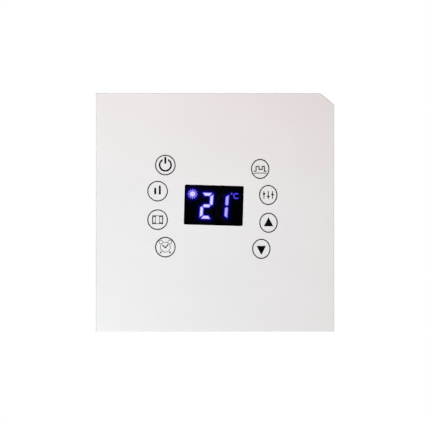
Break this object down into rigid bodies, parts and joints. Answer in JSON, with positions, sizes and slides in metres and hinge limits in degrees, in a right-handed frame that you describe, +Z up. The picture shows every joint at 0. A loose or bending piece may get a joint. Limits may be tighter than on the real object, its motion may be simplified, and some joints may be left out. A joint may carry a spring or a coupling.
{
  "type": "wall thermostat",
  "caption": "Square wall thermostat with flush touch keys and a lit display; its front unit pulls off a wall base whose recessed box holds a power supply, a relay and screw terminals.",
  "frame": {"origin": "on the wall plane, midway between the two wall screws", "axes": "+Y points into the wall, normal to the wall face; the front faces -Y; +Z is up; +X is to the right as seen from the front"},
  "size_m": [0.086, 0.041, 0.086],
  "materials": {
    "panel_white": "smooth gloss white, very slightly warm",
    "lens_smoked": "smoked clear acrylic, gloss",
    "ink_black": "screen-printed black ink, satin",
    "ink_grey": "thin screen-printed lines, satin",
    "frame_white": "moulded white ABS, fine texture",
    "board_green": "solder mask over glass-fibre laminate, with tracks and pads",
    "display_body": "black moulded display body",
    "segment_lit": "lit blue-violet light bars",
    "segment_dark": "light bars that are switched off",
    "unit_lit": "dimmer lit blue-violet symbol",
    "sun_lit": "lit blue-violet symbol",
    "tinned_pins": "tinned copper",
    "gold_pins": "gold-flashed square pins",
    "spring_wire": "plated spring wire",
    "chip_black": "black moulded package with tinned feet",
    "buzzer_black": "black moulded case",
    "holder_ivory": "moulded cell holder",
    "cell_steel": "brushed stainless cell",
    "sensor_bead": "epoxy bead on tinned leads",
    "header_black": "black moulded header",
    "zinc_steel": "bright zinc-plated sheet steel",
    "spring_steel": "bare spring steel",
    "box_white": "moulded flame-retardant white plastic, fine texture",
    "cover_white": "moulded flame-retardant white plastic, fine texture",
    "screw_zinc": "zinc-plated screw",
    "module_black": "potted power module, satin black",
    "fuse_black": "moulded fuse body",
    "can_sleeve": "dark shrink sleeve over an aluminium can",
    "varistor_blue": "dipped epoxy coating",
    "relay_case_blue": "moulded relay case",
    "relay_base_black": "moulded relay base with tinned leads",
    "relay_iron": "nickel-plated soft iron",
    "coil_copper": "enamelled copper winding on a moulded bobbin",
    "contact_brass": "brass with silver contact buttons",
    "bar_tinned": "tinned brass",
    "terminal_green": "moulded green terminal body",
    "socket_black": "black moulded socket with tinned feet",
    "clamp_zinc": "zinc-plated steel clamp"
  },
  "bodies": {
    "base": {"mounting_plate": "zinc_steel", "retaining_clips": "spring_steel", "rear_housing": "box_white", "base_cover": "cover_white", "cover_screws": "screw_zinc", "power_board": "board_green", "board_socket": "socket_black", "power_module": "module_black", "fuse": "fuse_black", "capacitor": "can_sleeve", "varistor": "varistor_blue", "relay_case": "relay_case_blue", "relay_base": "relay_base_black", "relay_yoke": "relay_iron", "relay_coil": "coil_copper", "relay_contacts": "contact_brass", "terminal_block": "terminal_green", "contact_bars": "bar_tinned"},
    "front_unit": {"front_panel": "panel_white", "display_lens": "lens_smoked", "key_rings": "ink_grey", "power_symbol": "ink_black", "heat_level_symbol": "ink_black", "open_window_symbol": "ink_grey", "timer_symbol": "ink_grey", "program_symbol": "ink_grey", "mode_symbol": "ink_grey", "up_arrow": "ink_black", "down_arrow": "ink_black", "front_frame": "frame_white", "control_board": "board_green", "control_board_screws": "screw_zinc", "display_housing": "display_body", "lit_segments": "segment_lit", "unlit_segments": "segment_dark", "sun_indicator": "sun_lit", "celsius_indicator": "unit_lit", "display_pins": "tinned_pins", "touch_springs": "spring_wire", "touch_controller": "chip_black", "buzzer": "buzzer_black", "battery_holder": "holder_ivory", "backup_battery": "cell_steel", "room_sensor": "sensor_bead", "pin_header": "header_black", "header_pins": "gold_pins"},
    "relay_rocker": {"relay_armature": "relay_iron"},
    "screw_1": {"terminal_screw_1": "screw_zinc"},
    "clamp_1": {"terminal_clamp_1": "clamp_zinc"},
    "screw_2": {"terminal_screw_2": "screw_zinc"},
    "clamp_2": {"terminal_clamp_2": "clamp_zinc"},
    "screw_3": {"terminal_screw_3": "screw_zinc"},
    "clamp_3": {"terminal_clamp_3": "clamp_zinc"},
    "screw_4": {"terminal_screw_4": "screw_zinc"},
    "clamp_4": {"terminal_clamp_4": "clamp_zinc"},
    "screw_5": {"terminal_screw_5": "screw_zinc"},
    "clamp_5": {"terminal_clamp_5": "clamp_zinc"},
    "screw_6": {"terminal_screw_6": "screw_zinc"},
    "clamp_6": {"terminal_clamp_6": "clamp_zinc"}
  },
  "joints": [
    {"name": "front_release", "type": "slide", "parent": "base", "child": "front_unit", "axis": [0, -1, 0], "range_m": [0, 0.012], "deforming": ["retaining_clips"]},
    {"name": "relay_rocker_pivot", "type": "hinge", "parent": "base", "child": "relay_rocker", "pos_m": [-0.0156, 0.0099, 0.0099], "axis": [-1, 0, 0], "range_deg": [0, 4.5], "stiffness_Nm_per_rad": 0.01, "springref_deg": -5.73},
    {"name": "terminal_screw_1_turn", "type": "hinge", "parent": "base", "child": "screw_1", "pos_m": [-0.01588, 0.0204, -0.0182], "axis": [0, -1, 0], "range_deg": [0, 1800]},
    {"name": "terminal_clamp_1_lift", "type": "slide", "parent": "base", "child": "clamp_1", "axis": [0, 1, 0], "range_m": [0, 0.0025]},
    {"name": "terminal_screw_2_turn", "type": "hinge", "parent": "base", "child": "screw_2", "pos_m": [-0.00953, 0.0204, -0.0182], "axis": [0, -1, 0], "range_deg": [0, 1800]},
    {"name": "terminal_clamp_2_lift", "type": "slide", "parent": "base", "child": "clamp_2", "axis": [0, 1, 0], "range_m": [0, 0.0025]},
    {"name": "terminal_screw_3_turn", "type": "hinge", "parent": "base", "child": "screw_3", "pos_m": [-0.00317, 0.0204, -0.0182], "axis": [0, -1, 0], "range_deg": [0, 1800]},
    {"name": "terminal_clamp_3_lift", "type": "slide", "parent": "base", "child": "clamp_3", "axis": [0, 1, 0], "range_m": [0, 0.0025]},
    {"name": "terminal_screw_4_turn", "type": "hinge", "parent": "base", "child": "screw_4", "pos_m": [0.00317, 0.0204, -0.0182], "axis": [0, -1, 0], "range_deg": [0, 1800]},
    {"name": "terminal_clamp_4_lift", "type": "slide", "parent": "base", "child": "clamp_4", "axis": [0, 1, 0], "range_m": [0, 0.0025]},
    {"name": "terminal_screw_5_turn", "type": "hinge", "parent": "base", "child": "screw_5", "pos_m": [0.00953, 0.0204, -0.0182], "axis": [0, -1, 0], "range_deg": [0, 1800]},
    {"name": "terminal_clamp_5_lift", "type": "slide", "parent": "base", "child": "clamp_5", "axis": [0, 1, 0], "range_m": [0, 0.0025]},
    {"name": "terminal_screw_6_turn", "type": "hinge", "parent": "base", "child": "screw_6", "pos_m": [0.01588, 0.0204, -0.0182], "axis": [0, -1, 0], "range_deg": [0, 1800]},
    {"name": "terminal_clamp_6_lift", "type": "slide", "parent": "base", "child": "clamp_6", "axis": [0, 1, 0], "range_m": [0, 0.0025]}
  ],
  "couplings": [
    {"joint": "terminal_screw_1_turn", "follows": "terminal_clamp_1_lift", "rad_per_m": 12566},
    {"joint": "terminal_screw_2_turn", "follows": "terminal_clamp_2_lift", "rad_per_m": 12566},
    {"joint": "terminal_screw_3_turn", "follows": "terminal_clamp_3_lift", "rad_per_m": 12566},
    {"joint": "terminal_screw_4_turn", "follows": "terminal_clamp_4_lift", "rad_per_m": 12566},
    {"joint": "terminal_screw_5_turn", "follows": "terminal_clamp_5_lift", "rad_per_m": 12566},
    {"joint": "terminal_screw_6_turn", "follows": "terminal_clamp_6_lift", "rad_per_m": 12566}
  ]
}
